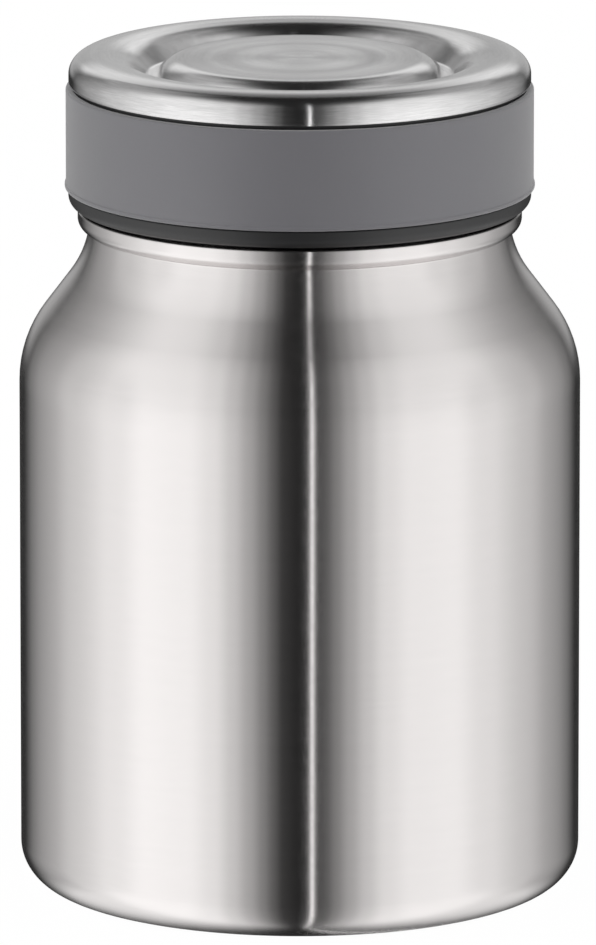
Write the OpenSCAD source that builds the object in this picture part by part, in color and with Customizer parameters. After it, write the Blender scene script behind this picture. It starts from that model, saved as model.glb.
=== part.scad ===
// Insulated food jar: a double-walled steel jar with a shouldered body and a short threaded
// neck, closed by a screw-on lid with a soft grip band and a dished steel cap.
// Millimetres, +Z up. The origin is the middle of the standing ring, under the base.

/* [Body] */
// Outer diameter of the body
body_d = 94.1; // [84:0.5:104]
// Height at which the shoulder starts
body_h = 86.3; // [70:0.1:110]
// Thickness of the outer steel
outer_wall = 0.6; // [0.5:0.05:0.8]
// Radius of the curve from the wall into the shoulder
shoulder_radius = 20; // [14:1:22]
// Slope of the shoulder, in degrees from upright
shoulder_angle = 37; // [32:1:42]
// Radius of the hollow curve from the shoulder into the neck
waist_radius = 15; // [12:1:18]
// Lean of the waist under the groove, in degrees from upright
waist_angle = 11; // [6:1:12]

/* [Base] */
// Radius of the lower edge of the body
base_radius = 7.2; // [5:0.2:9]
// Height of the weld between the base cup and the body
seam_h = 13; // [12:0.5:20]
// Width of the flat ring that the jar stands on
foot_w = 5; // [4:0.5:7]
// Depth of the recess inside the standing ring
recess_h = 2; // [1.6:0.1:3]
// Thickness of the cover disc in the recess
disc_t = 0.5; // [0.4:0.1:0.8]
// Gap between the cover disc and the edge of the recess
disc_gap = 0.8; // [0.4:0.1:1.5]
// Diameter of the dimple round the evacuation hole
dimple_d = 11; // [9:0.5:14]
// Depth of that dimple
dimple_h = 1.2; // [1:0.1:1.6]
// Diameter of the evacuation hole
vent_d = 2.5; // [2:0.1:4]
// Room between the sealing bead and the side of the dimple
bead_gap = 0.9; // [0.6:0.1:1.2]

/* [Neck] */
// Diameter of the neck behind the thread
neck_d = 69.8; // [66:0.2:74]
// How far the groove under the bead stands out from the neck
groove_out = 0.45; // [0.3:0.05:1]
// Height of the waist, from the foot of its curve to the groove
waist_h = 5.15; // [4.5:0.05:6]
// How far the bead that the lid stops above stands out from the neck
bead_out = 2.3; // [2:0.1:2.6]
// Height of the bead
bead_h = 3.45; // [3:0.05:4.5]
// Radius of the bead's swell, from its side into the groove
bead_radius = 2.6; // [1:0.1:2.8]
// Height over which the bead's swell comes in to the groove
bead_foot_h = 0.9; // [0.6:0.1:1.2]
// Gap between the two walls in the neck
neck_gap = 0.8; // [0.6:0.1:1.5]
// Radius of the mouth's inner edge
lip_radius = 0.7; // [0.5:0.1:0.9]

/* [Inner vessel] */
// Thickness of the inner steel
inner_wall = 0.5; // [0.4:0.05:0.7]
// Vacuum space between the two walls
vacuum_gap = 4.3; // [3:0.1:6]
// Vacuum space under the inner floor
floor_gap = 5.9; // [5.6:0.1:8]
// Radius between the inner floor and wall
floor_radius = 12; // [8:1:15]
// Radius of the inner curve into the mouth
throat_radius = 11; // [8:1:13]
// Thickness of the reflective foil
foil_t = 0.15; // [0.1:0.05:0.2]
// Distance of the foil from the inner floor
foil_inset = 13; // [13:1:20]
// Gap between the foil and the inner vessel
foil_gap = 0.05; // [0.03:0.01:0.08]

/* [Getter] */
// Diameter of the getter pellet
getter_d = 8; // [6:0.5:10]
// Thickness of the getter pellet
getter_h = 2.4; // [2:0.1:2.6]
// Distance of the getter from the axis
getter_offset = 15; // [14:0.5:16]
// Thickness of the clip's strip
clip_t = 0.3; // [0.2:0.05:0.4]
// Length of each foot of the clip
clip_foot = 4; // [3:0.5:5]
// Gap round the pellet in its clip
clip_gap = 0.15; // [0.1:0.05:0.3]

/* [Thread] */
// Rise of the thread in one turn
thread_lead = 6; // [5:0.5:8]
// Turns of thread on the neck
neck_turns = 1.45; // [1:0.05:1.5]
// Turns of thread in the lid
lid_turns = 1.2; // [0.8:0.05:1.3]
// Height of the neck's thread above the neck
neck_thread_h = 1.25; // [0.9:0.05:1.3]
// Height of the lid's thread above its bore
lid_thread_h = 1.35; // [0.9:0.05:1.4]
// Width of a thread at its root
thread_root_w = 2.3; // [2:0.1:2.4]
// Width of a thread at its crest
thread_crest_w = 1; // [0.8:0.1:1.2]
// Running clearance between the two flanks
flank_gap = 0.35; // [0.3:0.05:0.5]
// Running clearance between a crest and the other root
crest_gap = 0.45; // [0.35:0.05:0.6]
// Height of the thread's start above the lid's ring
thread_rise = 0.4; // [0.2:0.1:0.8]

/* [Lid] */
// Gap between the bead and the lid
lid_gap = 0.3; // [0.3:0.1:1]
// Thickness of the lid's wall, from its bore to the seat of the band
lid_wall = 1.4; // [1.2:0.1:2]
// How far the lid's lower ring stands out from that seat
ring_out = 0.75; // [0.4:0.05:1]
// Height of the lid's lower ring
ring_h = 3.2; // [2.8:0.1:4]
// Radius under the lower ring
ring_radius = 1.9; // [1:0.1:2]
// Thickness of the lid's top deck
deck_t = 1.8; // [1.5:0.1:2.5]
// Width of the shaded gap between band and cap
shadow_h = 0.7; // [0.5:0.1:2]
// How far the lid's rim inside the cap steps in from the seat of the band
rim_step = 0.35; // [0.3:0.05:0.6]
// Width of that rim
rim_w = 1.2; // [1:0.1:2]

/* [Grip band] */
// Thickness of the band
band_t = 1.1; // [0.9:0.05:1.8]
// Height of the band
band_h = 17.1; // [15:0.1:22]
// Radius of the band's outer edges
band_radius = 0.4; // [0.2:0.05:0.5]
// Stretch gap between the band and its seat
band_gap = 0.05; // [0.03:0.01:0.1]

/* [Steel cap] */
// How far the cap's side stands out from the seat of the band
cap_out = 0.68; // [0.6:0.02:1]
// Height of the cap, from its lower edge to its crown
cap_h = 5.2; // [4.8:0.1:6]
// Thickness of the cap's steel
cap_t = 0.5; // [0.4:0.05:0.6]
// Radius of the cap's upper edge
cap_radius = 2.4; // [1.8:0.1:2.6]
// How far the cap's lower edge turns in
cap_turn_in = 0.35; // [0.2:0.05:0.35]
// Height over which that edge turns in
cap_turn_h = 0.8; // [0.6:0.1:1]
// Fall of the rim from its crown to the upper edge
rim_fall = 1.5; // [1:0.1:1.8]
// Distance of the crown from the cap's side
crown_in = 7.7; // [6.5:0.1:9]
// Radius of the crown
crown_radius = 2; // [1.5:0.1:3]
// Depth of the ring-shaped moat below the crown
moat_h = 4.3; // [3.8:0.1:4.5]
// Width of the moat's floor
moat_w = 2.55; // [2:0.05:3.5]
// Radius beside the moat's floor
moat_radius = 1.2; // [0.8:0.1:1.6]
// Width of the wall between crown and moat
wall_w = 3.6; // [3:0.1:4.5]
// Width of the wall between moat and centre panel
panel_wall_w = 2.2; // [1.8:0.1:3]
// Height of the centre panel above the moat
panel_h = 2.8; // [2:0.1:3]
// Radius of the panel's edge
panel_radius = 6; // [2:0.5:6]
// Thickness of the adhesive under the moat
glue_t = 0.2; // [0.15:0.05:0.3]

/* [Stopper] */
// Depth of the stopper below the mouth
plug_depth = 11.6; // [9:0.2:14]
// Thickness of the stopper's wall
plug_wall = 1.4; // [1.2:0.1:2]
// Gap between the stopper and the mouth
plug_gap = 0.7; // [0.6:0.05:1]
// Radius of the stopper's lower edge
plug_radius = 2.5; // [1.5:0.1:4]
// Thickness of the stopper's flange
flange_t = 1.5; // [1.2:0.1:2]
// Insulation above the flange
foam_over = 1.5; // [1:0.1:3]
// Gap round the insulation
foam_gap = 0.15; // [0.1:0.05:0.3]

/* [Seal] */
// Thickness of the seal on the mouth
seal_t = 1.4; // [1:0.1:2]
// Height of the seal's sleeve below the mouth
sleeve_h = 2.2; // [1.5:0.1:3]
// Running gap on both sides of the sleeve
seal_gap = 0.1; // [0.08:0.01:0.12]
// How far the seal reaches past the neck's outside
seal_over = 0.4; // [0:0.1:0.5]
// Height of the ledge that keeps the seal on the stopper
ledge_h = 1; // [0.8:0.1:1.5]
// How far that ledge stands out
ledge_w = 0.4; // [0.3:0.05:0.45]

/* [Hidden] */

$fn = 120;
ARC_STEP = 9;         // degrees of turn in one facet of a rounded corner
ARC_ROOM = 0.98;      // most of a side that the arcs at its ends take up
SLICES = 48;          // slices in one turn of thread
RUN_OUT = 24;         // degrees over which a thread fades in or out
THREAD_SINK = 0.3;    // how far a thread's root sits inside the wall that carries it
CUT = 1;              // how far a cutting solid runs past what it cuts

// Body and neck
body_r = body_d / 2;
neck_r = neck_d / 2;
groove_r = neck_r + groove_out;
bead_r = neck_r + bead_out;
mouth_r = neck_r - outer_wall - neck_gap - inner_wall;
shoulder_z = body_h + shoulder_radius * tan(shoulder_angle / 2);
waist_r = groove_r + waist_h * tan(waist_angle);
waist_z = shoulder_z + (body_r - waist_r) / tan(shoulder_angle);
groove_z = waist_z + waist_h;
bead_z = groove_z + bead_h;
groove_radius = 0.3;
bead_fall = 0.15;     // how far the bead's top falls outwards
bead_edge_radius = 0.35;
neck_radius = 0.7;

// Lid heights, from the bead upwards
lid_z = bead_z + lid_gap;
band_z = lid_z + ring_h;
band_top = band_z + band_h;
cap_z = band_top + shadow_h;
lid_top = cap_z + cap_h;
cap_edge_z = lid_top - rim_fall;
moat_z = lid_top - moat_h;
deck_z = moat_z - cap_t - glue_t;
deck_bottom = deck_z - deck_t;
flange_z = deck_bottom - foam_over - flange_t;
mouth_z = flange_z - seal_t;
plug_z = mouth_z - plug_depth;

// Lid radii, from the thread outwards
bore_r = neck_r + neck_thread_h + crest_gap;
seat_r = bore_r + lid_wall;
ring_r = seat_r + ring_out;
rim_r = seat_r - rim_step;
rim_top = cap_edge_z - cap_radius;
band_in_r = seat_r + band_gap;
band_r = band_in_r + band_t;
cap_r = seat_r + cap_out;
crown_r = cap_r - crown_in;
moat_r = crown_r - wall_w;
panel_r = moat_r - moat_w - panel_wall_w;
plug_r = mouth_r - plug_gap;
edge_radius = 0.2;    // radius of a moulded edge

// Inner vessel
inner_r = body_r - outer_wall - vacuum_gap - inner_wall;
wall_step = body_r - inner_r;
inner_shoulder_z = shoulder_z - wall_step * tan(shoulder_angle / 2);
throat_z = inner_shoulder_z + (inner_r - mouth_r) / tan(shoulder_angle);
vessel_z = recess_h + outer_wall + floor_gap;
floor_z = vessel_z + inner_wall;

// Base
foot_r = body_r - base_radius - foot_w;
recess_slope = 1.2;   // run of the slope from the standing ring into the recess
recess_r = foot_r - recess_slope;
disc_r = recess_r - disc_gap;
dimple_r = dimple_d / 2;
dimple_slope = 0.8;   // run of the slope into the dimple
dimple_radius = 0.7;
recess_radius = 1;
foot_radius = 0.8;
vent_gap = 0.05;

// Thread: the same helix carries both ridges
thread_z = band_z + thread_rise;
bite = neck_thread_h + lid_thread_h - (bore_r - neck_r);
ridge_slope = (thread_root_w - thread_crest_w) / 2;
engaged_w = thread_crest_w + ridge_slope * bite / min(neck_thread_h, lid_thread_h);
lid_thread_drop = engaged_w + flank_gap;
lid_thread_start = 60;

function unit(v) = v / norm(v);
function flat(p) = [p[0], p[1]];
function backwards(points) = [for (i = [len(points) - 1:-1:0]) points[i]];
function side(v) = [-v[1], v[0]];

// Points of the arc that rounds corner p, between its neighbours a and b
function corner_arc(a, p, b, radius) =
    let (
        u = unit(a - p),
        v = unit(b - p),
        half = acos(u * v) / 2,
        centre = p + unit(u + v) * radius / sin(half),
        from = p + u * radius / tan(half) - centre,
        to = p + v * radius / tan(half) - centre,
        turn = sign(cross(from, to)) * (180 - 2 * half),
        steps = max(2, ceil(abs(turn) / ARC_STEP))
    )
    [for (i = [0:steps])
        let (t = turn * i / steps)
        centre + [from[0] * cos(t) - from[1] * sin(t), from[0] * sin(t) + from[1] * cos(t)]];

// How far along its two sides the arc of corner i reaches
function reach(path, i) =
    i == 0 || i == len(path) - 1 || len(path[i]) < 3 ? 0 :
    let (
        p = flat(path[i]),
        u = unit(flat(path[i - 1]) - p),
        v = unit(flat(path[i + 1]) - p)
    )
    path[i][2] / tan(acos(u * v) / 2);

// The share of the wanted arcs for which the side between corners i and i + 1 has room
function room(path, i) =
    let (wanted = reach(path, i) + reach(path, i + 1))
    wanted == 0 ? 1 : min(1, ARC_ROOM * norm(flat(path[i + 1]) - flat(path[i])) / wanted);

// The same path, with each radius limited by the sides next to it
function fitted(path) =
    [for (i = [0:len(path) - 1])
        let (p = path[i])
        reach(path, i) == 0 ? flat(p) : [p[0], p[1], p[2] * min(room(path, i - 1), room(path, i))]];

// A path of [r, z, radius] corners as plain points, with its corners rounded
function rounded(path) =
    let (q = fitted(path))
    [for (i = [0:len(q) - 1])
        each len(q[i]) < 3 ? [q[i]] : corner_arc(flat(q[i - 1]), flat(q[i]), flat(q[i + 1]), q[i][2])];

// The same path moved sideways by d, to its left as it is walked
function moved(path, d) =
    [for (i = [0:len(path) - 1])
        let (
            last = len(path) - 1,
            p = flat(path[i]),
            before = i == 0 ? unit(flat(path[1]) - p) : unit(p - flat(path[i - 1])),
            after = i == last ? before : unit(flat(path[i + 1]) - p),
            shift = (side(before) + side(after)) / (1 + before * after) * d,
            radius = len(path[i]) < 3 ? 0 : path[i][2] - sign(cross(before, after)) * d
        )
        radius > 0 ? [p[0] + shift[0], p[1] + shift[1], radius] : p + shift];

// A pressed or drawn sheet: a path turned round the axis, with its thickness on the left
module sheet(path, thickness) {
    rotate_extrude()
        polygon(concat(rounded(path), backwards(rounded(moved(fitted(path), thickness)))));
}

// A closed outline of [r, z, radius] corners turned round the axis
module turned(outline) {
    rotate_extrude()
        polygon(rounded(concat(outline, [flat(outline[0])])));
}

module ring(inner, outer, bottom, top) {
    translate([0, 0, bottom])
        rotate_extrude()
            translate([inner, 0])
                square([outer - inner, top - bottom]);
}

// A helical ridge on radius root, which stands out by height: outwards, or inwards if negative
module ridge(root, height, turns, start, z) {
    steps = round(turns * SLICES);
    outwards = sign(height);
    sunk = root - outwards * THREAD_SINK;
    spread = ridge_slope * THREAD_SINK / abs(height);
    slices = [for (i = [0:steps])
        let (
            along = 360 * i / SLICES,
            left = 360 * turns - along,
            grown = min(1, max(0.04, min(along, left) / RUN_OUT)),
            crest = root + height * grown,
            a = start + along,
            middle = z + thread_lead * a / 360,
            root_w = thread_root_w / 2 + spread,
            crest_w = thread_crest_w / 2 + ridge_slope * (1 - grown)
        )
        [for (q = [[sunk, -root_w], [crest, -crest_w], [crest, crest_w], [sunk, root_w]])
            [q[0] * cos(a), q[0] * sin(a), middle + q[1]]]];
    sides = len(slices[0]);
    walls = [for (i = [0:steps - 1], k = [0:sides - 1])
        let (
            p = i * sides + k,
            q = i * sides + (k + 1) % sides
        )
        each [[p, q, q + sides], [p, q + sides, p + sides]]];
    first = [for (k = [1:sides - 2]) [0, k + 1, k]];
    last = [for (k = [1:sides - 2]) [steps * sides, steps * sides + k, steps * sides + k + 1]];
    faces = concat(walls, first, last);
    polyhedron(
        points = [for (slice = slices) each slice],
        faces = outwards > 0 ? faces : [for (f = faces) [f[0], f[2], f[1]]]
    );
}

// Body tube drawn in at the shoulder, with the groove, the bead and the threaded neck
module outer_shell() {
    color("silver") {
        sheet([
            [body_r, seam_h],
            [body_r, shoulder_z, shoulder_radius],
            [waist_r, waist_z, waist_radius],
            [groove_r, groove_z, groove_radius],
            [bead_r, groove_z + bead_foot_h, bead_radius],
            [bead_r, bead_z - bead_fall, bead_edge_radius],
            [neck_r, bead_z, neck_radius],
            [neck_r, mouth_z - inner_wall]
        ], outer_wall);
        ridge(neck_r, neck_thread_h, neck_turns, 0, thread_z);
    }
}

// Pressed cup welded to the foot of the body, with the standing ring and the evacuation hole
module outer_bottom() {
    color("silver")
        difference() {
            sheet([
                [0, recess_h + dimple_h],
                [dimple_r, recess_h + dimple_h, dimple_radius],
                [dimple_r + dimple_slope, recess_h, dimple_radius],
                [recess_r, recess_h, recess_radius],
                [foot_r, 0, foot_radius],
                [body_r, 0, base_radius],
                [body_r, seam_h]
            ], outer_wall);
            translate([0, 0, recess_h])
                cylinder(d = vent_d, h = dimple_h + outer_wall + CUT);
        }
}

// Thin steel disc that covers the evacuation hole
module base_disc() {
    color("gainsboro")
        ring(0, disc_r, recess_h - disc_t, recess_h);
}

// Brazed bead that closes the evacuation hole
module vacuum_seal() {
    color("darkgoldenrod") {
        translate([0, 0, recess_h])
            cylinder(r = dimple_r - bead_gap, h = dimple_h);
        translate([0, 0, recess_h])
            cylinder(d = vent_d - 2 * vent_gap, h = dimple_h + outer_wall);
    }
}

// The food vessel, drawn in to the mouth and turned out over the end of the neck
module inner_vessel() {
    color("lightgray")
        sheet([
            [0, floor_z],
            [inner_r, floor_z, floor_radius],
            [inner_r, inner_shoulder_z, shoulder_radius - wall_step],
            [mouth_r, throat_z, throat_radius],
            [mouth_r, mouth_z, lip_radius],
            [neck_r, mouth_z]
        ], -inner_wall);
}

// Copper foil wrapped round the inner vessel, against radiated heat
module reflective_foil() {
    foil_r = inner_r + inner_wall + foil_gap;
    color("peru")
        ring(foil_r, foil_r + foil_t, floor_z + foil_inset, inner_shoulder_z - foil_inset);
}

// Pellet that takes up the last gas in the vacuum space
module getter_pellet() {
    color("dimgray")
        translate([getter_offset, 0, vessel_z - clip_gap - getter_h])
            cylinder(d = getter_d, h = getter_h);
}

// Bent strip, welded under the inner vessel, that holds the pellet
module getter_clip() {
    pocket = getter_d / 2 + clip_gap;
    drop = getter_h + 2 * clip_gap + clip_t;
    reach = pocket + clip_t + clip_foot;
    color("gray")
        translate([getter_offset, getter_d / 2, vessel_z])
            rotate([90, 0, 0])
                linear_extrude(getter_d)
                    polygon([
                        [-reach, 0],
                        [-pocket, 0],
                        [-pocket, clip_t - drop],
                        [pocket, clip_t - drop],
                        [pocket, 0],
                        [reach, 0],
                        [reach, -clip_t],
                        [pocket + clip_t, -clip_t],
                        [pocket + clip_t, -drop],
                        [-pocket - clip_t, -drop],
                        [-pocket - clip_t, -clip_t],
                        [-reach, -clip_t]
                    ]);
}

// Moulded lid: lower ring, seat for the band, rim inside the cap, deck and thread
module lid_shell() {
    color([0.17, 0.17, 0.18]) {
        turned([
            [0, deck_bottom],
            [bore_r, deck_bottom, edge_radius],
            [bore_r, lid_z],
            [ring_r, lid_z, ring_radius],
            [ring_r, band_z, edge_radius],
            [seat_r, band_z],
            [seat_r, band_top],
            [rim_r, band_top],
            [rim_r, rim_top, edge_radius],
            [rim_r - rim_w, rim_top, edge_radius],
            [rim_r - rim_w, deck_z],
            [0, deck_z]
        ]);
        ridge(bore_r, -lid_thread_h, lid_turns, lid_thread_start, thread_z - lid_thread_drop);
    }
}

// Pressed steel cap: outer rim with its crown, moat and raised centre panel
module lid_cap() {
    color("silver")
        sheet([
            [0, moat_z + panel_h],
            [panel_r, moat_z + panel_h, panel_radius],
            [panel_r + panel_wall_w, moat_z, moat_radius],
            [moat_r, moat_z, moat_radius],
            [crown_r, lid_top, crown_radius],
            [cap_r, cap_edge_z, cap_radius],
            [cap_r, cap_z + cap_turn_h, cap_turn_h],
            [cap_r - cap_turn_in, cap_z]
        ], -cap_t);
}

// Ring of adhesive that holds the cap's moat to the deck
module cap_adhesive() {
    color("ivory")
        ring(moat_r - moat_w, moat_r, deck_z, deck_z + glue_t);
}

// Soft band round the lid
module grip_band() {
    color([0.42, 0.42, 0.45])
        turned([
            [band_in_r, band_z],
            [band_r, band_z, band_radius],
            [band_r, band_top, band_radius],
            [band_in_r, band_top]
        ]);
}

// Moulded stopper welded into the lid, which hangs in the mouth and carries the seal
module lid_stopper() {
    hold_r = bore_r - foam_gap;
    ledge_z = mouth_z - sleeve_h - seal_gap;
    color([0.2, 0.2, 0.21])
        turned([
            [0, plug_z],
            [plug_r, plug_z, plug_radius],
            [plug_r, ledge_z - ledge_h],
            [plug_r + ledge_w, ledge_z - ledge_h + ledge_w],
            [plug_r + ledge_w, ledge_z],
            [plug_r, ledge_z],
            [plug_r, flange_z],
            [hold_r, flange_z],
            [hold_r, flange_z + flange_t],
            [plug_r - plug_wall, flange_z + flange_t],
            [plug_r - plug_wall, plug_z + plug_wall, plug_radius - plug_wall],
            [0, plug_z + plug_wall]
        ]);
}

// Foam between the stopper and the deck
module lid_insulation() {
    core_r = plug_r - plug_wall - foam_gap;
    color("wheat")
        turned([
            [0, plug_z + plug_wall],
            [core_r, plug_z + plug_wall, plug_radius],
            [core_r, flange_z + flange_t],
            [bore_r - foam_gap, flange_z + flange_t],
            [bore_r - foam_gap, deck_bottom - foam_gap],
            [0, deck_bottom - foam_gap]
        ]);
}

// Silicone seal: a washer on the mouth with a sleeve inside it
module lid_seal() {
    sleeve_r = plug_r + seal_gap;
    color("whitesmoke")
        turned([
            [sleeve_r, mouth_z - sleeve_h],
            [mouth_r - seal_gap, mouth_z - sleeve_h],
            [mouth_r - seal_gap, mouth_z],
            [neck_r + seal_over, mouth_z],
            [neck_r + seal_over, flange_z],
            [sleeve_r, flange_z]
        ]);
}

outer_shell();
outer_bottom();
base_disc();
vacuum_seal();
inner_vessel();
reflective_foil();
getter_pellet();
getter_clip();
lid_shell();
lid_cap();
cap_adhesive();
grip_band();
lid_stopper();
lid_insulation();
lid_seal();
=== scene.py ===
"""Looks of the insulated food jar: turned steel, moulded lid and soft band in a plain white studio."""
import math

import bpy
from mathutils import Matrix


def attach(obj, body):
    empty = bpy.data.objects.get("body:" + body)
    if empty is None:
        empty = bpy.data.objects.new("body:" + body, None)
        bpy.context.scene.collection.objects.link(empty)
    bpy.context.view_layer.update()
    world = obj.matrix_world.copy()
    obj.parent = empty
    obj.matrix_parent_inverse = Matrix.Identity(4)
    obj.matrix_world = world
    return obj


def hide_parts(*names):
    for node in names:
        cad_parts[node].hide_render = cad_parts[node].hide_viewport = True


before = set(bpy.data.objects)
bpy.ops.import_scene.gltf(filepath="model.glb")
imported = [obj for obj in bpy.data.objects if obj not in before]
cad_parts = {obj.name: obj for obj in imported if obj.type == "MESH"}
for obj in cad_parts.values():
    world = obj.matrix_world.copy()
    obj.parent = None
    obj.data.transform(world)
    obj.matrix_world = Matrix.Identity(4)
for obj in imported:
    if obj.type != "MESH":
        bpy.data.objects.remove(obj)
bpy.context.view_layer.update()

MM = 0.001

# Driving sizes, in millimetres, as in the jar's own drawing, but for the waist, the bead, the ring's
# upper edge, the band and the cap, which are drawn a little finer here
BODY_D, BODY_H, OUTER_WALL = 94.1, 86.3, 0.6
SHOULDER_RADIUS, SHOULDER_ANGLE = 20.0, 37.0
WAIST_RADIUS, WAIST_ANGLE, WAIST_H = 18.0, 11.0, 4.75
NECK_D, NECK_RADIUS, NECK_GAP, LIP_RADIUS = 69.8, 0.7, 0.8, 0.7
GROOVE_OUT, GROOVE_RADIUS = 0.45, 0.3
BEAD_OUT, BEAD_H, BEAD_RADIUS, BEAD_FOOT_H = 2.3, 3.75, 1.9, 0.9
BEAD_FALL, BEAD_EDGE_RADIUS = 0.15, 0.4
BASE_RADIUS, SEAM_H, FOOT_W, FOOT_RADIUS = 7.2, 13.0, 5.0, 0.8
RECESS_H, RECESS_SLOPE, RECESS_RADIUS, DISC_T, DISC_GAP = 2.0, 1.2, 1.0, 0.5, 0.8
DIMPLE_D, DIMPLE_H, DIMPLE_SLOPE, DIMPLE_RADIUS, VENT_D = 11.0, 1.2, 0.8, 0.7, 2.5
INNER_WALL, VACUUM_GAP, FLOOR_GAP, FLOOR_RADIUS, THROAT_RADIUS = 0.5, 4.3, 5.9, 12.0, 11.0
THREAD_LEAD, NECK_TURNS, LID_TURNS, THREAD_RISE = 6.0, 1.45, 1.2, 0.4
NECK_THREAD_H, LID_THREAD_H, ROOT_W, CREST_W = 1.25, 1.35, 2.3, 1.0
FLANK_GAP, CREST_GAP, LID_START, RUN_OUT = 0.35, 0.45, 60.0, 24.0
LID_GAP, LID_WALL = 0.3, 1.4
RING_OUT, RING_H, RING_RADIUS, RING_TOP_RADIUS = 0.75, 3.2, 1.9, 0.5
DECK_T, SHADOW_H, RIM_STEP, RIM_W, EDGE_RADIUS = 1.8, 0.7, 0.35, 1.2, 0.2
BAND_T, BAND_H, BAND_RADIUS, BAND_GAP = 1.1, 16.9, 0.4, 0.05
BAND_LIP_OUT, BAND_LIP_H, BAND_LIP_RADIUS, SOFT_EDGE = 0.2, 0.6, 0.3, 0.1
CAP_OUT, CAP_H, CAP_T, CAP_RADIUS = 0.68, 5.05, 0.5, 3.0
CAP_TURN_IN, CAP_TURN_H = 0.15, 0.4
RIM_FALL, CROWN_IN, CROWN_RADIUS = 1.15, 5.0, 9.0
BROW_W, BROW_FALL, BROW_RADIUS = 4.8, 0.82, 5.0
MOAT_H, MOAT_W, MOAT_RADIUS, WALL_W = 3.95, 1.3, 0.9, 3.2
PANEL_WALL_W, PANEL_H, PANEL_RADIUS, GLUE_T = 2.3, 3.1, 4.2, 0.2
PLUG_DEPTH, PLUG_WALL, PLUG_GAP, PLUG_RADIUS = 11.6, 1.4, 0.7, 2.5
FLANGE_T, FOAM_OVER, FOAM_GAP = 1.5, 1.5, 0.15
SEAL_T, SLEEVE_H, SEAL_GAP, SEAL_OVER, LEDGE_H, LEDGE_W = 1.4, 2.2, 0.1, 0.4, 1.0, 0.4
SEAL_EDGE, SEAL_FOOT_RADIUS, SEAL_RIM_RADIUS = 0.12, 0.2, 0.3

# Derived places
body_r, neck_r = BODY_D / 2, NECK_D / 2
groove_r, bead_r = neck_r + GROOVE_OUT, neck_r + BEAD_OUT
mouth_r = neck_r - OUTER_WALL - NECK_GAP - INNER_WALL
lean = math.radians(SHOULDER_ANGLE)
shoulder_z = BODY_H + SHOULDER_RADIUS * math.tan(lean / 2)
waist_r = groove_r + WAIST_H * math.tan(math.radians(WAIST_ANGLE))
waist_z = shoulder_z + (body_r - waist_r) / math.tan(lean)
groove_z = waist_z + WAIST_H
bead_z = groove_z + BEAD_H
lid_z = bead_z + LID_GAP
band_z = lid_z + RING_H
band_top = band_z + BAND_H
cap_z = band_top + SHADOW_H
lid_top = cap_z + CAP_H
cap_edge_z = lid_top - RIM_FALL
moat_z = lid_top - MOAT_H
deck_z = moat_z - CAP_T - GLUE_T
deck_bottom = deck_z - DECK_T
flange_z = deck_bottom - FOAM_OVER - FLANGE_T
mouth_z = flange_z - SEAL_T
plug_z = mouth_z - PLUG_DEPTH
bore_r = neck_r + NECK_THREAD_H + CREST_GAP
seat_r = bore_r + LID_WALL
ring_r, rim_r, cap_r = seat_r + RING_OUT, seat_r - RIM_STEP, seat_r + CAP_OUT
rim_top = cap_edge_z - CAP_RADIUS
band_in_r = seat_r + BAND_GAP
band_r = band_in_r + BAND_T
crown_r = cap_r - CROWN_IN
brow_r = crown_r - BROW_W
moat_r = brow_r - WALL_W
panel_r = moat_r - MOAT_W - PANEL_WALL_W
plug_r = mouth_r - PLUG_GAP
inner_r = body_r - OUTER_WALL - VACUUM_GAP - INNER_WALL
wall_step = body_r - inner_r
inner_shoulder_z = shoulder_z - wall_step * math.tan(lean / 2)
throat_z = inner_shoulder_z + (inner_r - mouth_r) / math.tan(lean)
floor_z = RECESS_H + OUTER_WALL + FLOOR_GAP + INNER_WALL
foot_r = body_r - BASE_RADIUS - FOOT_W
recess_r = foot_r - RECESS_SLOPE
thread_z = band_z + THREAD_RISE
ridge_slope = (ROOT_W - CREST_W) / 2
bite = NECK_THREAD_H + LID_THREAD_H - (bore_r - neck_r)
lid_thread_drop = CREST_W + ridge_slope * bite / min(NECK_THREAD_H, LID_THREAD_H) + FLANK_GAP

# How finely the meshes are drawn, in millimetres but for the angles
SEGMENTS = 256          # columns round a turned piece
ARC_STEP = math.radians(5)
SHARP_ANGLE = math.radians(30)
SUPPORT = 0.25          # how close a support ring lies to the end of a curve
THREAD_ROW = 0.2        # between rings where a thread stands
THREAD_SOFTNESS = 0.15  # how far a thread's flank runs into its crest and its root
SAME = 1e-4             # radii this close are one radius
TINY = 1e-3             # points this close are one point


# ---------------------------------------------------------------- profiles
def corner_arc(a, p, b, radius):
    """Points that round corner p between its neighbours a and b."""
    ax, az, bx, bz = a[0] - p[0], a[1] - p[1], b[0] - p[0], b[1] - p[1]
    la, lb = math.hypot(ax, az), math.hypot(bx, bz)
    ux, uz, vx, vz = ax / la, az / la, bx / lb, bz / lb
    half = math.acos(max(-1, min(1, ux * vx + uz * vz))) / 2
    reach = radius / math.tan(half)
    mx, mz = ux + vx, uz + vz
    scale = radius / math.sin(half) / math.hypot(mx, mz)
    cx, cz = p[0] + mx * scale, p[1] + mz * scale
    sx, sz = p[0] + ux * reach - cx, p[1] + uz * reach - cz
    ex, ez = p[0] + vx * reach - cx, p[1] + vz * reach - cz
    turn = math.copysign(math.pi - 2 * half, sx * ez - sz * ex)
    steps = max(3, math.ceil(abs(turn) / ARC_STEP))
    angles = [turn * i / steps for i in range(steps + 1)]
    return [(cx + sx * math.cos(t) - sz * math.sin(t), cz + sx * math.sin(t) + sz * math.cos(t))
            for t in angles]


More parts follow.
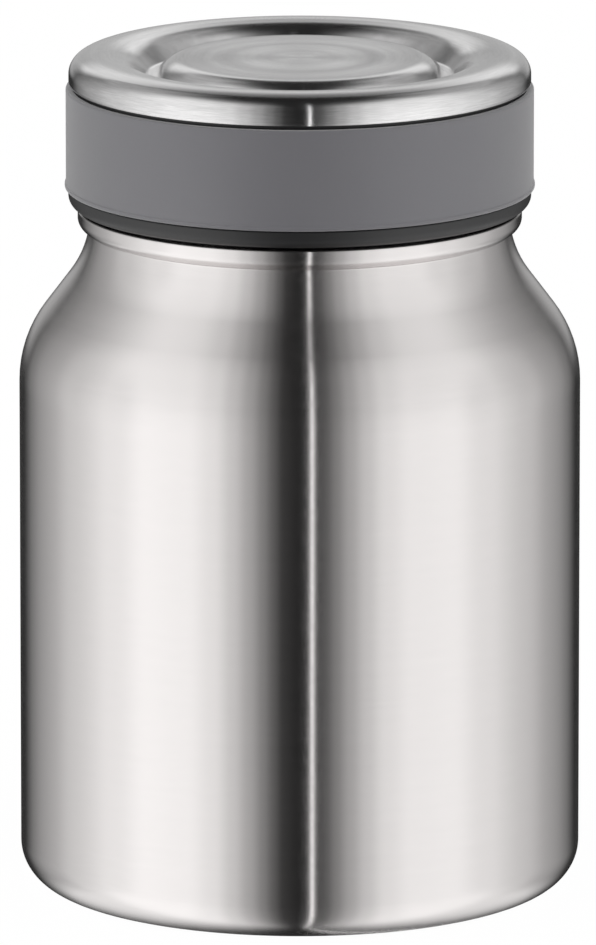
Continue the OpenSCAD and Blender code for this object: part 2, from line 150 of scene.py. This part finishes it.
def rounded(path, closed=False):
    """A path of (r, z[, radius]) corners as points, with support points beside every curve and edge."""
    count = len(path)
    runs = []
    for i, p in enumerate(path):
        inside = closed or 0 < i < count - 1
        if inside and len(p) > 2:
            runs.append(corner_arc(path[i - 1], p, path[(i + 1) % count], p[2]))
        else:
            runs.append([(p[0], p[1])])
    points = []
    for i, run in enumerate(runs):
        points += run
        if i == count - 1 and not closed:
            break
        (r0, z0), (r1, z1) = run[-1], runs[(i + 1) % count][0]
        length = math.hypot(r1 - r0, z1 - z0)
        if length > 4 * SUPPORT:
            for s in (SUPPORT / length, 1 - SUPPORT / length):
                points.append((r0 + (r1 - r0) * s, z0 + (z1 - z0) * s))
    return points


def heading(a, b):
    """The unit vector from a to b."""
    length = math.hypot(b[0] - a[0], b[1] - a[1])
    return (b[0] - a[0]) / length, (b[1] - a[1]) / length


def moved(path, d):
    """The same path moved sideways by d, to its left as it is walked."""
    last = len(path) - 1
    out = []
    for i, p in enumerate(path):
        before = heading(path[0], path[1]) if i == 0 else heading(path[i - 1], p)
        after = before if i == last else heading(p, path[i + 1])
        k = d / (1 + before[0] * after[0] + before[1] * after[1])
        place = (p[0] - (before[1] + after[1]) * k, p[1] + (before[0] + after[0]) * k)
        bend = before[0] * after[1] - before[1] * after[0]
        radius = p[2] - math.copysign(1, bend) * d if len(p) > 2 else 0
        out.append((*place, radius) if radius > 0 else place)
    return out


def sheet(path, thickness):
    """The closed outline of a sheet that follows path, with its thickness on the left."""
    return rounded(path) + rounded(moved(path, thickness))[::-1]


def refine(points, low, high, radius):
    """Adds rings to the straight run at radius, from low to high, so that a thread can stand on it."""
    out = []
    for i, (r0, z0) in enumerate(points):
        r1, z1 = points[(i + 1) % len(points)]
        out.append((r0, z0))
        if abs(r0 - radius) < SAME and abs(r1 - radius) < SAME and abs(z1 - z0) > THREAD_ROW:
            steps = math.ceil(abs(z1 - z0) / THREAD_ROW)
            extra = [(radius, z0 + (z1 - z0) * k / steps) for k in range(1, steps)]
            out += [q for q in extra if low <= q[1] <= high]
    return out


def smooth(t):
    """Rises from 0 to 1 as t does, level at both ends."""
    t = min(1, max(0, t))
    return t * t * (3 - 2 * t)


def thread(height, turns, start, z, radius):
    """How far a helical ridge lifts a point: a function of its radius, height and angle."""
    def lift(r, at, angle):
        if abs(r - radius) > SAME:
            return 0.0
        best = 0.0
        for lap in range(math.ceil(turns) + 1):
            a = (angle - start) % 360 + 360 * lap
            if a > 360 * turns:
                continue
            grown = smooth(min(a, 360 * turns - a) / RUN_OUT)
            off = abs(at - (z + THREAD_LEAD * (a + start) / 360))
            flank = (off - CREST_W / 2 + THREAD_SOFTNESS) / (ridge_slope + 2 * THREAD_SOFTNESS)
            best = max(best, grown * (1 - smooth(flank)))
        return height * best
    return lift


# ---------------------------------------------------------------- meshes
def turned(name, outline, body, *replaced, slot, lift=None):
    """A closed (r, z) outline in millimetres, turned round the jar's axis into one clean mesh."""
    cleaned = [p for i, p in enumerate(outline) if math.dist(p, outline[i - 1]) > TINY]
    verts, rings = [], []
    for r, z in cleaned:
        if r < TINY:
            rings.append([len(verts)] * SEGMENTS)
            verts.append((0, 0, z * MM))
            continue
        rings.append(list(range(len(verts), len(verts) + SEGMENTS)))
        for k in range(SEGMENTS):
            angle = 360 * k / SEGMENTS
            rr = r + (lift(r, z, angle) if lift else 0)
            a = math.radians(angle)
            verts.append((rr * math.cos(a) * MM, rr * math.sin(a) * MM, z * MM))
    faces = []
    for i, ring in enumerate(rings):
        after = rings[(i + 1) % len(rings)]
        if cleaned[i][0] < TINY and cleaned[(i + 1) % len(rings)][0] < TINY:
            continue
        for k in range(SEGMENTS):
            m = (k + 1) % SEGMENTS
            quad = [ring[k], ring[m], after[m], after[k]]
            faces.append([v for j, v in enumerate(quad) if v != quad[j - 1]])
    area = sum(a[0] * b[1] - b[0] * a[1] for a, b in zip(cleaned, cleaned[1:] + cleaned[:1]))
    if area < 0:
        faces = [f[::-1] for f in faces]
    mesh = bpy.data.meshes.new(name)
    mesh.from_pydata(verts, [], faces)
    mesh.validate()
    mesh.shade_smooth()
    mesh.set_sharp_from_angle(angle=SHARP_ANGLE)
    piece = bpy.data.objects.new(name, mesh)
    bpy.context.scene.collection.objects.link(piece)
    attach(piece, body)
    if replaced:
        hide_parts(*replaced)
    return piece


# ---------------------------------------------------------------- materials
# Scales of the textures, in features a metre: brushed lines along and across, and clouds in the tone
FINE_ALONG, FINE_ACROSS, BROAD_ALONG = 300, 5200, 12
CLOUDS = 60


class Nodes:
    """A short way to write the node tree of a new material or world."""

    def __init__(self, owner):
        owner.use_nodes = True
        self.owner = owner
        self.tree = owner.node_tree
        self.shader = self.tree.nodes.get("Principled BSDF")

    def add(self, kind, **values):
        node = self.tree.nodes.new(kind)
        for key, value in values.items():
            setattr(node, key, value)
        return node

    def link(self, source, target):
        self.tree.links.new(source, target)

    def math(self, operation, a, b=None):
        node = self.add("ShaderNodeMath", operation=operation)
        for socket, value in zip(node.inputs, (a, b)):
            if isinstance(value, (int, float)):
                socket.default_value = value
            elif value is not None:
                self.link(value, socket)
        return node.outputs[0]

    def noise(self, vector, scale, detail=2.0, roughness=0.5):
        node = self.add("ShaderNodeTexNoise")
        node.inputs["Scale"].default_value = scale
        node.inputs["Detail"].default_value = detail
        node.inputs["Roughness"].default_value = roughness
        self.link(vector, node.inputs["Vector"])
        return node.outputs["Fac"]

    def spread(self, value, low, high):
        """value, which runs about 0.3 to 0.7, as a number from low to high."""
        node = self.add("ShaderNodeMapRange")
        for key, number in (("From Min", 0.3), ("From Max", 0.7), ("To Min", low), ("To Max", high)):
            node.inputs[key].default_value = number
        self.link(value, node.inputs["Value"])
        return node.outputs["Result"]

    def mix(self, factor, a, b):
        node = self.add("ShaderNodeMix", data_type="RGBA")
        self.link(factor, node.inputs["Factor"])
        node.inputs[6].default_value = (*a, 1)
        node.inputs[7].default_value = (*b, 1)
        return node.outputs[2]

    def mix_shaders(self, factor, first, second):
        node = self.add("ShaderNodeMixShader")
        for socket, source in zip(node.inputs, (factor, first.outputs[0], second.outputs[0])):
            self.link(source, socket)
        return node

    def bump(self, height, strength, distance):
        node = self.add("ShaderNodeBump")
        node.inputs["Strength"].default_value = strength
        node.inputs["Distance"].default_value = distance
        self.link(height, node.inputs["Height"])
        self.link(node.outputs["Normal"], self.shader.inputs["Normal"])

    def set(self, **values):
        for key, value in values.items():
            name = key.replace("_", " ")
            self.shader.inputs[name].default_value = (*value, 1) if isinstance(value, tuple) else value

    def turned_vector(self, along, across):
        """A vector that is stretched along the brushing round the axis: slow along it, fast across it."""
        place = self.add("ShaderNodeTexCoord").outputs["Object"]
        split = self.add("ShaderNodeSeparateXYZ")
        self.link(place, split.inputs[0])
        x, y, z = split.outputs
        squares = self.math("ADD", self.math("MULTIPLY", x, x), self.math("MULTIPLY", y, y))
        radius = self.math("SQRT", squares)
        lines = self.math("MULTIPLY", self.math("SUBTRACT", z, radius), across)
        join = self.add("ShaderNodeCombineXYZ")
        self.link(self.math("MULTIPLY", x, along), join.inputs[0])
        self.link(self.math("MULTIPLY", y, along), join.inputs[1])
        self.link(lines, join.inputs[2])
        return join.outputs[0]


def brushed_steel(name, tone, shade, rough, anisotropy, depth, streaks=700, streak_share=0.3):
    """Steel brushed round the axis, with fine lines and broad streaks in its tone and gloss."""
    n = Nodes(bpy.data.materials.new(name))
    fine = n.noise(n.turned_vector(FINE_ALONG, FINE_ACROSS), 1.0, 3.0, 0.65)
    broad = n.noise(n.turned_vector(BROAD_ALONG, streaks), 1.0, 2.0)
    grain = n.math("ADD", n.spread(fine, 0, 1 - streak_share), n.spread(broad, 0, streak_share))
    n.link(n.mix(grain, shade, tone), n.shader.inputs["Base Color"])
    n.link(n.math("ADD", n.math("MULTIPLY", grain, 0.3 * rough), 0.85 * rough), n.shader.inputs["Roughness"])
    n.set(Metallic=1.0, Anisotropic=anisotropy, Anisotropic_Rotation=0.25)
    tangent = n.add("ShaderNodeTangent", direction_type="RADIAL", axis="Z")
    n.link(tangent.outputs[0], n.shader.inputs["Tangent"])
    n.bump(fine, 0.2, depth)
    return n.owner


def moulded(name, tone, shade, rough, grain_scale, depth, **extra):
    """A moulded or coated surface: fine grain, slight cloudiness in tone and gloss."""
    n = Nodes(bpy.data.materials.new(name))
    place = n.add("ShaderNodeTexCoord").outputs["Object"]
    cloud = n.noise(place, CLOUDS, 3.0)
    grain = n.noise(place, grain_scale, 2.0, 0.6)
    n.link(n.mix(n.spread(cloud, 0, 1), shade, tone), n.shader.inputs["Base Color"])
    n.link(n.spread(grain, rough * 0.9, rough * 1.1), n.shader.inputs["Roughness"])
    n.set(**extra)
    n.bump(grain, 0.4, depth)
    return n.owner


steel = brushed_steel("body_steel", (0.688, 0.664, 0.657), (0.66, 0.638, 0.631), 0.18, 1.0, 0.000004)
cap_metal = brushed_steel("cap_steel", (0.83, 0.825, 0.825), (0.49, 0.485, 0.485), 0.16, 1.0, 0.000002,
                          streaks=200, streak_share=0.7)
inner_metal = brushed_steel("vessel_steel", (0.6, 0.6, 0.6), (0.55, 0.55, 0.55), 0.26, 0.6, 0.000006)
dark_plastic = moulded("lid_plastic", (0.013, 0.013, 0.014), (0.01, 0.01, 0.011), 0.4, 2200, 0.00001,
                       Specular_IOR_Level=0.6)
soft_grip = moulded("grip_rubber", (0.188, 0.184, 0.202), (0.178, 0.174, 0.193), 0.5, 2600, 0.000012,
                    Specular_IOR_Level=0.9, Sheen_Weight=1.0, Sheen_Roughness=0.5)
silicone = moulded("seal_silicone", (0.8, 0.8, 0.78), (0.74, 0.74, 0.72), 0.4, 900, 0.00001,
                   Subsurface_Weight=0.3, Subsurface_Scale=0.002)
foil_metal = moulded("copper_foil", (0.8, 0.45, 0.32), (0.72, 0.4, 0.28), 0.2, 500, 0.00005, Metallic=1.0)
braze = moulded("braze_metal", (0.6, 0.5, 0.3), (0.5, 0.4, 0.25), 0.35, 900, 0.00004, Metallic=1.0)
powder = moulded("getter_powder", (0.12, 0.12, 0.12), (0.08, 0.08, 0.08), 0.8, 3000, 0.00004)
foam = moulded("lid_foam", (0.8, 0.76, 0.65), (0.72, 0.68, 0.58), 0.85, 1200, 0.00008)
glue = moulded("cap_glue", (0.75, 0.72, 0.6), (0.68, 0.65, 0.54), 0.35, 400, 0.00003)


def dress(piece, material):
    piece.data.materials.clear()
    piece.data.materials.append(material)


# ---------------------------------------------------------------- the jar
def make_outer_shell():
    outline = sheet([
        (body_r, SEAM_H), (body_r, shoulder_z, SHOULDER_RADIUS), (waist_r, waist_z, WAIST_RADIUS),
        (groove_r, groove_z, GROOVE_RADIUS), (bead_r, groove_z + BEAD_FOOT_H, BEAD_RADIUS),
        (bead_r, bead_z - BEAD_FALL, BEAD_EDGE_RADIUS), (neck_r, bead_z, NECK_RADIUS),
        (neck_r, mouth_z - INNER_WALL)], OUTER_WALL)
    outline = refine(outline, bead_z, mouth_z, neck_r)
    lift = thread(NECK_THREAD_H, NECK_TURNS, 0, thread_z, neck_r)
    dress(turned("body_shell", outline, "jar", "outer_shell", slot="outer_steel", lift=lift), steel)


def make_base():
    outline = sheet([
        (VENT_D / 2, RECESS_H + DIMPLE_H), (DIMPLE_D / 2, RECESS_H + DIMPLE_H, DIMPLE_RADIUS),
        (DIMPLE_D / 2 + DIMPLE_SLOPE, RECESS_H, DIMPLE_RADIUS), (recess_r, RECESS_H, RECESS_RADIUS),
        (foot_r, 0, FOOT_RADIUS), (body_r, 0, BASE_RADIUS), (body_r, SEAM_H)], OUTER_WALL)
    dress(turned("base_cup", outline, "jar", "outer_bottom", slot="outer_steel"), steel)
    disc_r = recess_r - DISC_GAP
    outline = rounded([(0, RECESS_H - DISC_T), (disc_r, RECESS_H - DISC_T, EDGE_RADIUS),
                       (disc_r, RECESS_H), (0, RECESS_H)])
    dress(turned("base_cover", outline, "jar", "base_disc", slot="outer_steel"), steel)


def make_vessel():
    outline = sheet([
        (0, floor_z), (inner_r, floor_z, FLOOR_RADIUS),
        (inner_r, inner_shoulder_z, SHOULDER_RADIUS - wall_step), (mouth_r, throat_z, THROAT_RADIUS),
        (mouth_r, mouth_z, LIP_RADIUS), (neck_r, mouth_z)], -INNER_WALL)
    dress(turned("food_vessel", outline, "jar", "inner_vessel", slot="inner_steel"), inner_metal)


def make_lid():
    outline = rounded([
        (0, deck_bottom), (bore_r, deck_bottom, EDGE_RADIUS), (bore_r, lid_z), (ring_r, lid_z, RING_RADIUS),
        (ring_r, band_z, RING_TOP_RADIUS), (seat_r, band_z), (seat_r, band_top), (rim_r, band_top),
        (rim_r, rim_top, EDGE_RADIUS), (rim_r - RIM_W, rim_top, EDGE_RADIUS), (rim_r - RIM_W, deck_z),
        (0, deck_z)])
    outline = refine(outline, lid_z, deck_bottom, bore_r)
    lift = thread(-LID_THREAD_H, LID_TURNS, LID_START, thread_z - lid_thread_drop, bore_r)
    dress(turned("lid_moulding", outline, "lid", "lid_shell", slot="lid_plastic", lift=lift), dark_plastic)

    outline = sheet([
        (0, moat_z + PANEL_H), (panel_r, moat_z + PANEL_H, PANEL_RADIUS),
        (panel_r + PANEL_WALL_W, moat_z, MOAT_RADIUS), (moat_r, moat_z, MOAT_RADIUS),
        (brow_r, lid_top - BROW_FALL, BROW_RADIUS), (crown_r, lid_top, CROWN_RADIUS),
        (cap_r, cap_edge_z, CAP_RADIUS),
        (cap_r, cap_z + CAP_TURN_H, CAP_TURN_H), (cap_r - CAP_TURN_IN, cap_z)], -CAP_T)
    dress(turned("steel_cap", outline, "lid", "lid_cap", slot="cap_steel"), cap_metal)

    lip_r, lip_top = band_r + BAND_LIP_OUT, band_z + BAND_LIP_H
    outline = rounded([
        (band_in_r, band_z, SOFT_EDGE), (lip_r, band_z, BAND_LIP_RADIUS), (lip_r, lip_top, SOFT_EDGE),
        (band_r, lip_top + BAND_LIP_OUT, SOFT_EDGE), (band_r, band_top, BAND_RADIUS),
        (band_in_r, band_top, SOFT_EDGE)], closed=True)
    dress(turned("soft_band", outline, "lid", "grip_band", slot="grip"), soft_grip)

    ledge_z = mouth_z - SLEEVE_H - SEAL_GAP
    outline = rounded([
        (0, plug_z), (plug_r, plug_z, PLUG_RADIUS), (plug_r, ledge_z - LEDGE_H),
        (plug_r + LEDGE_W, ledge_z - LEDGE_H + LEDGE_W), (plug_r + LEDGE_W, ledge_z, SOFT_EDGE),
        (plug_r, ledge_z), (plug_r, flange_z), (bore_r - FOAM_GAP, flange_z),
        (bore_r - FOAM_GAP, flange_z + FLANGE_T), (plug_r - PLUG_WALL, flange_z + FLANGE_T),
        (plug_r - PLUG_WALL, plug_z + PLUG_WALL, PLUG_RADIUS - PLUG_WALL), (0, plug_z + PLUG_WALL)])
    dress(turned("stopper", outline, "lid", "lid_stopper", slot="lid_plastic"), dark_plastic)


def make_seal():
    sleeve_r = plug_r + SEAL_GAP
    outline = rounded([
        (sleeve_r, mouth_z - SLEEVE_H, SEAL_EDGE),
        (mouth_r - SEAL_GAP, mouth_z - SLEEVE_H, SEAL_FOOT_RADIUS), (mouth_r - SEAL_GAP, mouth_z),
        (neck_r + SEAL_OVER, mouth_z, SEAL_RIM_RADIUS), (neck_r + SEAL_OVER, flange_z, SEAL_RIM_RADIUS),
        (sleeve_r, flange_z, SEAL_EDGE)], closed=True)
    dress(turned("mouth_seal", outline, "seal", "lid_seal", slot="seal"), silicone)


make_outer_shell()
make_base()
make_vessel()
make_lid()
make_seal()
for node, material in {"reflective_foil": foil_metal, "vacuum_seal": braze, "getter_pellet": powder,
                       "getter_clip": inner_metal, "cap_adhesive": glue, "lid_insulation": foam}.items():
    dress(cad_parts[node], material)


# ---------------------------------------------------------------- studio
CAMERA_DISTANCE, CAMERA_REACH, CAMERA_PITCH = 2.6, 20, 12.35
CAMERA_LENS, CAMERA_SENSOR = 589.4, 36
AIM_HEIGHT, AIM_SIDE = 0.0701, -0.0003
FLOOR_SIZE, FLOOR_TONE, FLOOR_ROUGHNESS = 3.0, 0.85, 0.9
FLOOR_GLOW, FLOOR_GLOW_SHARE = 1.04, 0.93      # seen by the camera, so that the floor comes out white


def make_camera():
    data = bpy.data.cameras.new("camera")
    data.lens = CAMERA_LENS
    data.sensor_width = CAMERA_SENSOR
    data.clip_end = CAMERA_REACH
    camera = bpy.data.objects.new("camera", data)
    pitch = math.radians(CAMERA_PITCH)
    camera.location = (AIM_SIDE, -CAMERA_DISTANCE * math.cos(pitch),
                       AIM_HEIGHT + CAMERA_DISTANCE * math.sin(pitch))
    camera.rotation_euler = (math.pi / 2 - pitch, 0, 0)
    bpy.context.scene.collection.objects.link(camera)
    bpy.context.scene.camera = camera


def make_floor():
    mesh = bpy.data.meshes.new("floor")
    corners = [(-1, -1), (1, -1), (1, 1), (-1, 1)]
    mesh.from_pydata([(x * FLOOR_SIZE, y * FLOOR_SIZE, 0) for x, y in corners], [], [(0, 1, 2, 3)])
    floor = bpy.data.objects.new("floor", mesh)
    bpy.context.scene.collection.objects.link(floor)
    floor.visible_glossy = False
    n = Nodes(bpy.data.materials.new("floor_white"))
    n.set(Base_Color=(FLOOR_TONE, FLOOR_TONE, FLOOR_TONE), Roughness=FLOOR_ROUGHNESS)
    glow = n.add("ShaderNodeEmission")
    glow.inputs["Strength"].default_value = FLOOR_GLOW
    camera_ray = n.add("ShaderNodeLightPath").outputs["Is Camera Ray"]
    lit = n.mix_shaders(n.math("MULTIPLY", camera_ray, FLOOR_GLOW_SHARE), n.shader, glow)
    # seen from under it, the floor is clear, so that the jar's base can be looked at
    from_under = n.math("MULTIPLY", camera_ray, n.add("ShaderNodeNewGeometry").outputs["Backfacing"])
    seen = n.mix_shaders(from_under, lit, n.add("ShaderNodeBsdfTransparent"))
    n.link(seen.outputs[0], n.tree.nodes["Material Output"].inputs["Surface"])
    mesh.materials.append(n.owner)


# The studio round the jar, as curves of (degrees, brightness). Two long soft boxes stand beside it, with
# a dark gap over the plane between them: their brightness against the angle from that plane
BOXES = ((0, 0.025), (6.8, 0.05), (10.8, 0.15), (14.7, 0.3), (20.5, 0.54), (27.3, 0.82), (35.1, 1.1),
         (46.6, 1.28), (65, 1.33), (78, 1.13), (90, 1.08))
# how they fade towards the back, against the angle from the front, and with the height
BOX_BACK = ((0, 1), (88, 1), (104, 0.72), (120, 0.45), (137, 0.3), (147, 0.2), (157, 0.05), (180, 0))
BOX_HEIGHT = ((-90, 1.3), (-50, 1.1), (-20, 1), (-5, 1), (10, 0.9), (50, 0.88), (60, 0.72), (67, 0.35),
              (75, 0.08), (90, 0.05))
# and the pale floor beside the jar, which the curve of its base mirrors, against the height
LOWER = ((-90, 0.85), (-36, 0.85), (-20, 0), (90, 0))
BOX_LEFT = 0.05         # how much brighter the left box is, and the right one dimmer
# a narrow strip of light in the gap
SLIT_ANGLE, SLIT_WIDTH, SLIT_GLOW = 5.0, 0.7, 3.6
# a pale backdrop behind the jar: against the height, and against the angle from the front
BACKDROP = ((-90, 0), (-8, 0), (-3, 0.5), (13, 0.5), (19, 1), (29.5, 1), (35, 0), (90, 0))
BACKDROP_SIDE = ((0, 0), (140, 0), (150, 0.3), (160, 0.85), (168, 1), (180, 1))
# and soft light above it, behind the jar, on either side of the plane between the boxes
UPPER = ((-90, 0), (24, 0), (34, 0.45), (52, 0.45), (62, 0), (90, 0))
UPPER_SIDE = ((0, 0), (9, 0), (18, 1), (90, 1))
UPPER_FROM = 110        # degrees from the front
DARKEST = 0.025
LEAST = 0.0001          # keeps a division off zero


def make_world():
    n = Nodes(bpy.data.worlds.new("studio"))
    bpy.context.scene.world = n.owner
    n.tree.nodes.clear()
    calc = n.math

    def curve(source, points, ease="LINEAR"):
        """The brightness at source, in degrees, on a curve of (degrees, brightness) points."""
        low, high = points[0][0], points[-1][0]
        top = max(value for _, value in points)
        ramp = n.add("ShaderNodeValToRGB")
        ramp.color_ramp.interpolation = ease
        stops = ramp.color_ramp.elements
        while len(stops) < len(points):
            stops.new(0.5)
        for stop, (at, value) in zip(stops, points):
            stop.position = (at - low) / (high - low)
            stop.color = (value / top, value / top, value / top, 1)
        n.link(calc("DIVIDE", calc("SUBTRACT", source, low), high - low), ramp.inputs[0])
        return calc("MULTIPLY", ramp.outputs[0], top)

    split = n.add("ShaderNodeSeparateXYZ")
    n.link(n.add("ShaderNodeTexCoord").outputs["Generated"], split.inputs[0])
    x, y, z = split.outputs
    # degrees from the front, degrees above level, and degrees to one side of the plane x = 0; the last is
    # drawn in towards the top and bottom, which keeps the dark gap straight on the shoulder
    round_angle = calc("ABSOLUTE", calc("DEGREES", calc("ARCTAN2", x, calc("MULTIPLY", y, -1))))
    height = calc("DEGREES", calc("ARCSINE", z))
    flat = calc("MAXIMUM", LEAST, calc("SUBTRACT", 1, calc("MULTIPLY", z, z)))
    sine = calc("DIVIDE", x, calc("SQRT", calc("SQRT", flat)))
    side = calc("DEGREES", calc("ARCSINE", calc("MAXIMUM", -1, calc("MINIMUM", 1, sine))))
    aside = calc("ABSOLUTE", side)

    off_slit = calc("DIVIDE", calc("ABSOLUTE", calc("SUBTRACT", side, SLIT_ANGLE)), SLIT_WIDTH)
    slit = calc("MULTIPLY", calc("SUBTRACT", 1, calc("MINIMUM", 1, off_slit)), SLIT_GLOW)
    boxes = calc("ADD", curve(aside, BOXES, "EASE"), slit)
    light = calc("MULTIPLY", calc("MULTIPLY", boxes, curve(round_angle, BOX_BACK)), curve(height, BOX_HEIGHT))
    light = calc("MAXIMUM", light, calc("MULTIPLY", boxes, curve(height, LOWER)))
    light = calc("MULTIPLY", light, calc("SUBTRACT", 1, calc("MULTIPLY", x, BOX_LEFT)))
    backdrop = calc("MULTIPLY", curve(round_angle, BACKDROP_SIDE), curve(height, BACKDROP))
    upper = calc("MULTIPLY", curve(aside, UPPER_SIDE), curve(height, UPPER))
    upper = calc("MULTIPLY", upper, calc("GREATER_THAN", round_angle, UPPER_FROM))
    for part in (backdrop, upper, DARKEST):
        light = calc("MAXIMUM", light, part)

    studio = n.add("ShaderNodeBackground")
    n.link(light, studio.inputs["Color"])
    white = n.add("ShaderNodeBackground")
    white.inputs["Color"].default_value = (1, 1, 1, 1)
    seen = n.mix_shaders(n.add("ShaderNodeLightPath").outputs["Is Camera Ray"], studio, white)
    n.link(seen.outputs[0], n.add("ShaderNodeOutputWorld").inputs["Surface"])


make_camera()
make_floor()
make_world()
bpy.context.scene.view_settings.view_transform = "Standard"
